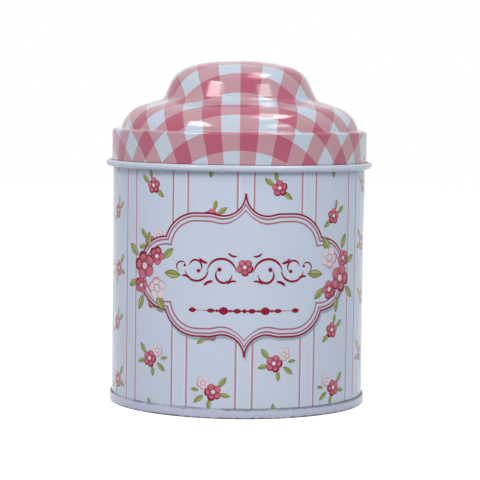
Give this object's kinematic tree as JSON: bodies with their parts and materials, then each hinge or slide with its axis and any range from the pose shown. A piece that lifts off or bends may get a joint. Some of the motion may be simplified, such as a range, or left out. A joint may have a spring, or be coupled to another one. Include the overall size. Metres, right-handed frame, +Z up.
{
  "type": "tea caddy",
  "caption": "Round tinplate tea caddy with a two-tier domed slip-over lid, a press-in inner lid and a double-seamed base; keeps loose tea dry.",
  "frame": {"origin": "centre of the ring that the caddy stands on", "axes": "+Z up along the caddy's axis, -Y towards the middle of the printed label, +Y towards the wall's side seam at the back, +X to the right of the label"},
  "size_m": [0.0908, 0.0908, 0.1162],
  "materials": {
    "printed_wall": "glossy lacquered print on tinplate, bare tinplate inside",
    "white_enamel": "glossy white enamel, slightly lilac, chipped at the seam's edges",
    "bare_tinplate": "bright bare tinplate",
    "printed_lid": "glossy lacquered rose and white gingham print, white enamel inside and on the curl"
  },
  "bodies": {
    "can": {"wall": "printed_wall", "base": "white_enamel"},
    "inner_lid": {"inner_lid": "bare_tinplate"},
    "dome_lid": {"dome_lid": "printed_lid"}
  },
  "joints": [
    {"name": "inner_lid_lift", "type": "slide", "parent": "can", "child": "inner_lid", "axis": [0, 0, 1], "range_m": [0, 0.03]},
    {"name": "dome_lid_lift", "type": "slide", "parent": "inner_lid", "child": "dome_lid", "axis": [0, 0, 1], "range_m": [0, 0.06]}
  ]
}
